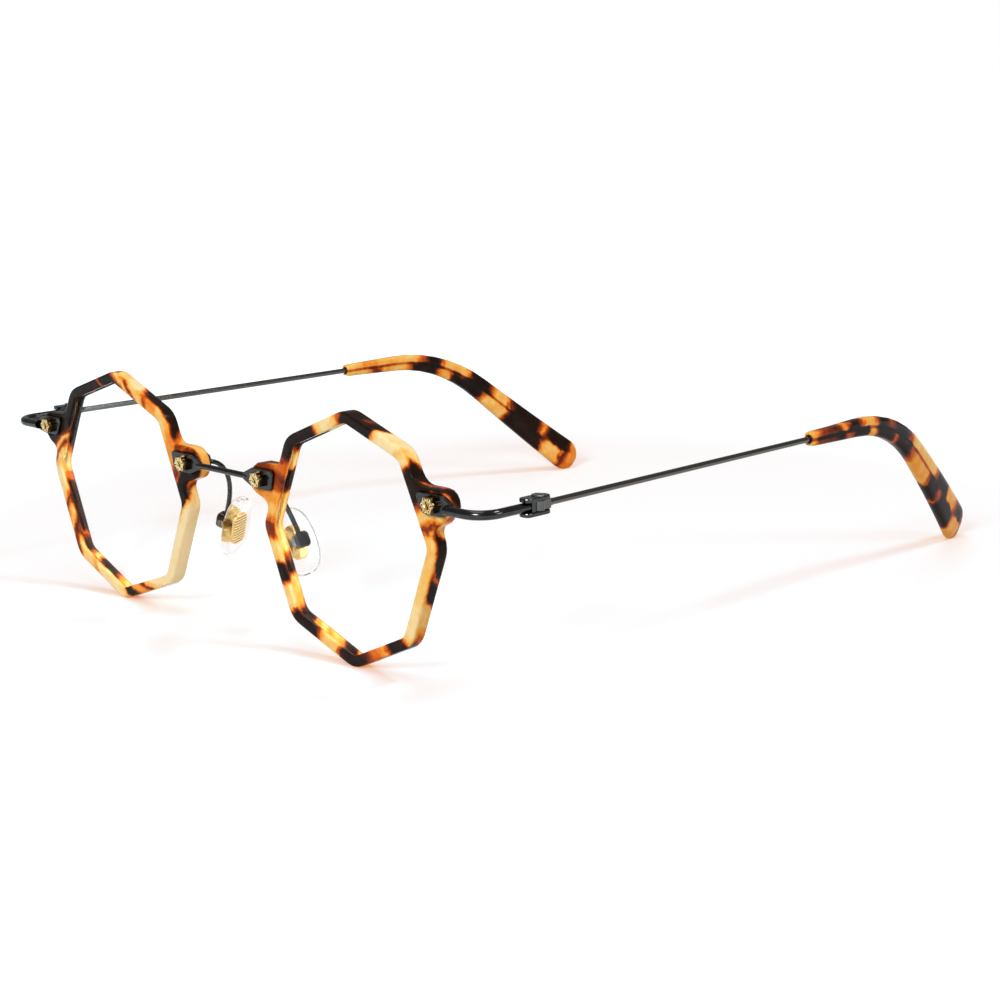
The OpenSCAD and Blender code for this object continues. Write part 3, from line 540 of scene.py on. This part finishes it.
NODE_FINISH = {
    "lens": lens_glass, "bridge": gunmetal, "bridge_nut": gunmetal, "endpiece": gunmetal,
    "endpiece_nut": gunmetal, "hinge_screw": screw_metal, "pad_arm": gunmetal, "pad_screw": screw_metal,
    "temple_wire": wire_metal,
}
for name, node in frame["nodes"].items():
    kind = name.removesuffix("_left").removesuffix("_right")
    if kind in NODE_FINISH:
        node.data.materials.append(NODE_FINISH[kind])


# Modelling by hand, in edit mode. Angles for smooth are in degrees: a sharper edge stays an edge
MERGE_WITHIN = 1e-7


def only(piece):
    bpy.ops.object.select_all(action="DESELECT")
    piece.select_set(True)
    bpy.context.view_layer.objects.active = piece


def place_in_mesh(piece, matrix=Matrix.Identity(4)):
    """The piece's place goes into its mesh and its object stays at the origin, with faces outwards"""
    piece.data.transform(matrix @ piece.matrix_basis)
    piece.matrix_basis = Matrix.Identity(4)
    only(piece)
    bpy.ops.object.mode_set(mode="EDIT")
    bpy.ops.mesh.select_all(action="SELECT")
    bpy.ops.mesh.remove_doubles(threshold=MERGE_WITHIN)
    bpy.ops.mesh.normals_make_consistent(inside=False)
    bpy.ops.object.mode_set(mode="OBJECT")


def pick_faces(piece, least_up):
    """Selects the faces that look up at least so much, and nothing else, in edit mode"""
    bpy.ops.object.mode_set(mode="EDIT")
    bpy.ops.mesh.select_mode(type="FACE")
    bpy.ops.mesh.select_all(action="DESELECT")
    bpy.ops.object.mode_set(mode="OBJECT")
    for face in piece.data.polygons:
        face.select = face.normal.z > least_up
    bpy.ops.object.mode_set(mode="EDIT")


def smooth(piece, angle):
    only(piece)
    bpy.ops.object.shade_smooth_by_angle(angle=math.radians(angle))


def dress(piece, material, body):
    piece.data.materials.clear()
    piece.data.materials.append(material)
    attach(piece, body)


def twin(piece, name, matrix):
    """A copy with its own mesh, put in its place"""
    other = piece.copy()
    other.data = piece.data.copy()
    other.name = other.data.name = name
    bpy.context.scene.collection.objects.link(other)
    place_in_mesh(other, matrix)
    return other


def merged_copy(node, name, angle, body, material):
    """A CAD node's form with its loose triangles merged, so that its polish runs on over them"""
    piece = bpy.data.objects.new(name, frame["nodes"][node].data.copy())
    piece.data.name = name
    bpy.context.scene.collection.objects.link(piece)
    place_in_mesh(piece)
    smooth(piece, angle)
    bpy.ops.object.modifier_add(type="WEIGHTED_NORMAL")
    piece.modifiers[-1].keep_sharp = True
    bpy.ops.object.modifier_apply(modifier=piece.modifiers[-1].name)
    dress(piece, material, body)
    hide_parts(node)
    return piece


# Rims and temple tips
RIM_SMOOTH, TIP_SMOOTH = 38, 60
WIRE_LEN, TOE_IN = 71.8, math.radians(1.18)
TIP_STRAIGHT, EAR_BEND_R, EAR_DROP = 14.5, 38.0, math.radians(39)


def along_tip(point, sign):
    """How far along the tip a point lies and how high above its middle line, in millimetres"""
    out, back, up = (point - Vector((sign * HINGE.x, HINGE.y, HINGE.z))) / MM
    back = back * math.cos(TOE_IN) - sign * out * math.sin(TOE_IN)
    if back < WIRE_LEN + TIP_STRAIGHT:
        return back - WIRE_LEN, up
    arm = Vector((back - WIRE_LEN - TIP_STRAIGHT, up + EAR_BEND_R))
    bent = math.atan2(arm.x, arm.y)
    if bent < EAR_DROP:
        return TIP_STRAIGHT + EAR_BEND_R * bent, arm.length - EAR_BEND_R
    past_bend = arm.x * math.cos(EAR_DROP) - arm.y * math.sin(EAR_DROP)
    above = arm.x * math.sin(EAR_DROP) + arm.y * math.cos(EAR_DROP) - EAR_BEND_R
    return TIP_STRAIGHT + EAR_BEND_R * EAR_DROP + past_bend, above


for side, _ in SIDES:
    merged_copy("rim_" + side, "acetate_rim_" + side, RIM_SMOOTH, "front", rim_materials[side])

for side, sign in SIDES:
    tip = merged_copy("temple_tip_" + side, "acetate_tip_" + side, TIP_SMOOTH, "temple_" + side,
                      tip_materials[side])
    layer = tip.data.uv_layers.new(name="along_tip")
    for loop in tip.data.loops:
        along, above = along_tip(tip.data.vertices[loop.vertex_index].co, sign)
        layer.data[loop.index].uv = (along / TIP_SPAN, 0.5 + above / TIP_RISE)


# Star screws
STAR_R, STAR_T, STAR_BASE = 1.55, 1.1, 0.6
STAR_POINTS, STAR_NOTCH, STAR_NOTCH_POWER = 6, 0.22, 1.25
STAR_EASE, STAR_BORDER = 0.1, 0.45
DISH_R, DISH_TAPER, DISH_DEPTH, DISH_DEPTH_SUNK = 0.95, 0.82, 0.04, 0.1
DISH_WITHIN, FACE_WITHIN = 0.25, 0.05  # how far under the top the faces of each may lie
STAR_SMOOTH = 32
STARS = {"bridge_screw": (False, 12), "endpiece_screw": (True, 0)}  # sunk or not, and degrees turned
FACE, WALL, DISH = range(3)
FORWARD = turned(90, "X")


def star_screw(sunk):
    """Star head with a shallow or a sunk middle, standing over the rims' front plane along +Z"""
    bpy.ops.mesh.primitive_cylinder_add(vertices=60, radius=STAR_R * MM, depth=STAR_T * MM,
                                        location=(0, 0, (STAR_BASE + STAR_T / 2) * MM))
    star = bpy.context.object
    star.name = "star_screw"
    for vertex in star.data.vertices:
        angle = math.atan2(vertex.co.y, vertex.co.x)
        reach = 1 - STAR_NOTCH * abs(math.sin(STAR_POINTS / 2 * angle)) ** STAR_NOTCH_POWER
        vertex.co.x *= reach
        vertex.co.y *= reach
    pick_faces(star, least_up=0.9)
    bpy.ops.mesh.bevel(offset=STAR_EASE * MM, segments=2, affect="EDGES")
    pick_faces(star, least_up=0.99)
    bpy.ops.mesh.inset(thickness=STAR_BORDER * MM)
    depth = DISH_DEPTH_SUNK if sunk else DISH_DEPTH
    bpy.ops.mesh.extrude_region_move(TRANSFORM_OT_translate={"value": (0, 0, -depth * MM)})
    bpy.ops.transform.resize(value=(DISH_TAPER, DISH_TAPER, 1))
    bpy.ops.mesh.select_all(action="DESELECT")
    bpy.ops.object.mode_set(mode="OBJECT")
    # The side walls take painted shade, a near-black gold
    for material in (gold, gold_wall_painted_shade, gold_sunk_painted_shade if sunk else gold):
        star.data.materials.append(material)
    top = STAR_T / 2
    for face in star.data.polygons:
        middle = face.center / MM
        if math.hypot(middle.x, middle.y) < DISH_R and middle.z > top - DISH_WITHIN:
            face.material_index = DISH
        else:
            face.material_index = FACE if face.normal.z > 0.5 and middle.z > top - FACE_WITHIN else WALL
    place_in_mesh(star)
    smooth(star, STAR_SMOOTH)
    return star


for node, (sunk, degrees) in STARS.items():
    form = star_screw(sunk)
    for side, _ in SIDES:
        screw = middle_of(node + "_" + side)
        place = Matrix.Translation(Vector((screw.x, RIM_FRONT, screw.z))) @ FORWARD @ turned(degrees, "Z")
        head = twin(form, "star_" + node + "_" + side, place)
        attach(head, "front")
        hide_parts(node + "_" + side)
    bpy.data.objects.remove(form)


# Nose pads
PAD_LEAN, PAD_SPLAY, PAD_TILT = 10, 13, 22
PAD_PLACE = (Matrix.Translation(PAD_ROCK) @ turned(PAD_LEAN, "X") @ turned(-PAD_SPLAY, "Z")
             @ turned(-PAD_TILT, "Y") @ turned(-90, "Z") @ turned(90, "X"))
PAD_HALF_W, PAD_HALF_H, PAD_BACK = 3.9, 6.25, 1.8
PAD_SQUARE_X, PAD_SQUARE_Y = 0.8, 0.86  # the lower, the squarer
PAD_NARROW, PAD_SHIFT = 0.25, 0.12
PAD_LEVELS = [  # how far the outline lies inwards, and at which height
    (0.55, 1.8), (0.22, 1.86), (0.05, 2.05), (0.0, 2.35), (0.04, 2.75), (0.2, 3.1), (0.5, 3.42),
    (0.95, 3.66), (1.5, 3.82), (2.2, 3.93), (3.0, 3.99)]
RIBS, RIB_PITCH, RIB_HEIGHT = 11, 0.58, 3.1
RIB_W, RIB_T, RIB_EASE = 0.3, 0.24, 0.07
RIB_HALF, RIB_FULL_TO = 1.7, 1.8  # half a rib's length, and how far from the middle it stays so
RIB_END_FLAT, RIB_END_SQUARE, RIB_END_STRETCH = 0.5, 1.45, 1.1
PLATE_FROM, PLATE_FACE = 2.2, 2.8  # the heights where the plate and its front between the ribs begin
PLATE_DRAWN_X, PLATE_DRAWN_Y = 0.84, 0.94
PAD_SMOOTH, GRIP_SMOOTH, PLATE_SMOOTH = 60, 40, 35


def pad_body():
    """Clear pad: a rounded D outline pulled up from its flat back through full sides to a low crown"""
    bpy.ops.mesh.primitive_circle_add(vertices=56, radius=1, fill_type="NGON", location=(0, 0, 0))
    pad = bpy.context.object
    pad.name = "nose_pad"
    for vertex in pad.data.vertices:
        x = math.copysign(abs(vertex.co.x) ** PAD_SQUARE_X, vertex.co.x)
        y = math.copysign(abs(vertex.co.y) ** PAD_SQUARE_Y, vertex.co.y)
        narrow = PAD_NARROW * (y + 1) / 2
        across = (PAD_HALF_W - narrow) * x - PAD_SHIFT * narrow
        vertex.co = Vector((across, PAD_HALF_H * y, PAD_BACK)) * MM
    bpy.ops.object.mode_set(mode="EDIT")
    bpy.ops.mesh.select_all(action="SELECT")
    inset_before, height_before = 0.0, PAD_BACK
    for inset, height in PAD_LEVELS:
        rise = (height - height_before) * MM
        if rise > 0:
            bpy.ops.mesh.extrude_region_move(TRANSFORM_OT_translate={"value": (0, 0, rise)})
        narrower, shorter = ((half - inset) / (half - inset_before) for half in (PAD_HALF_W, PAD_HALF_H))
        bpy.ops.transform.resize(value=(narrower, shorter, 1))
        inset_before, height_before = inset, height
    bpy.ops.object.mode_set(mode="OBJECT")
    return pad


def pad_grip():
    """Ribs across the plate that is moulded into the pad, shorter towards its two round ends"""
    ribs = []
    for k in range(RIBS):
        y = (k - RIBS // 2) * RIB_PITCH
        beyond = abs(y) - RIB_FULL_TO
        half = RIB_HALF
        if beyond > 0:
            half = RIB_END_FLAT + math.sqrt(RIB_END_SQUARE - beyond ** 2 / RIB_END_STRETCH)
        bpy.ops.mesh.primitive_cube_add(size=1, location=(0, y * MM, RIB_HEIGHT * MM))
        rib = bpy.context.object
        rib.scale = (2 * half * MM, RIB_W * MM, RIB_T * MM)
        bpy.ops.object.transform_apply(location=True, rotation=True, scale=True)
        bpy.ops.object.mode_set(mode="EDIT")
        bpy.ops.mesh.select_all(action="SELECT")
        bpy.ops.mesh.bevel(offset=RIB_EASE * MM, segments=2, affect="EDGES")
        bpy.ops.object.mode_set(mode="OBJECT")
        ribs.append(rib)
    only(ribs[0])
    for rib in ribs:
        rib.select_set(True)
    bpy.ops.object.join()
    grip = bpy.context.object
    grip.name = "pad_grip"
    return grip


def pad_plate(side, place):
    """The moulded-in plate and its tab, with the plate drawn in at its sides inside the clear pad"""
    plate = merged_copy("pad_insert_" + side, "pad_plate_" + side, PLATE_SMOOTH, "pad_" + side,
                        gold_pale)
    back = place.inverted()
    for vertex in plate.data.vertices:
        spot = back @ vertex.co
        if spot.z > PLATE_FROM * MM:
            vertex.co = place @ Vector((spot.x * PLATE_DRAWN_X, spot.y * PLATE_DRAWN_Y, spot.z))
    # The plate's front between the ribs takes painted shade, a darker gold
    plate.data.materials.append(gold_gap_painted_shade)
    for face in plate.data.polygons:
        if (back @ face.center).z > PLATE_FACE * MM:
            face.material_index = 1


pad_form = pad_body()
grip_form = pad_grip()
for side, sign in SIDES:
    place = PAD_PLACE if sign == 1 else MIRROR @ PAD_PLACE
    pad_plate(side, place)
    pad = twin(pad_form, "soft_nose_pad_" + side, place)
    smooth(pad, PAD_SMOOTH)
    dress(pad, silicone, "pad_" + side)
    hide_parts("nose_pad_" + side)
    grip = twin(grip_form, "pad_grip_" + side, place)
    smooth(grip, GRIP_SMOOTH)
    dress(grip, gold_rib_painted_highlight, "pad_" + side)
bpy.data.objects.remove(pad_form)
bpy.data.objects.remove(grip_form)


# Collars where the wires enter the tips
COLLAR_R, COLLAR_T, COLLAR_INSET = 0.72, 0.14, 0.02
COLLAR_SMOOTH = 60


def wire_collar():
    """Small dark ring let into the tip's mouth, round the wire"""
    bpy.ops.mesh.primitive_torus_add(major_segments=36, minor_segments=10, major_radius=COLLAR_R * MM,
                                     minor_radius=COLLAR_T * MM, location=(0, 0, 0),
                                     rotation=(math.radians(90), 0, 0))
    ring = bpy.context.object
    ring.name = "wire_collar"
    return ring


collar_form = wire_collar()
along_wire = Matrix.Translation(Vector((0, (WIRE_LEN - COLLAR_INSET) * MM, 0)))
collar_place = Matrix.Translation(HINGE) @ Matrix.Rotation(TOE_IN, 4, "Z") @ along_wire
for side, sign in SIDES:
    collar = twin(collar_form, "wire_collar_" + side, collar_place if sign == 1 else MIRROR @ collar_place)
    smooth(collar, COLLAR_SMOOTH)
    dress(collar, gunmetal, "temple_" + side)
bpy.data.objects.remove(collar_form)


bpy.context.scene.view_settings.view_transform = "Standard"
bpy.ops.object.select_all(action="DESELECT")
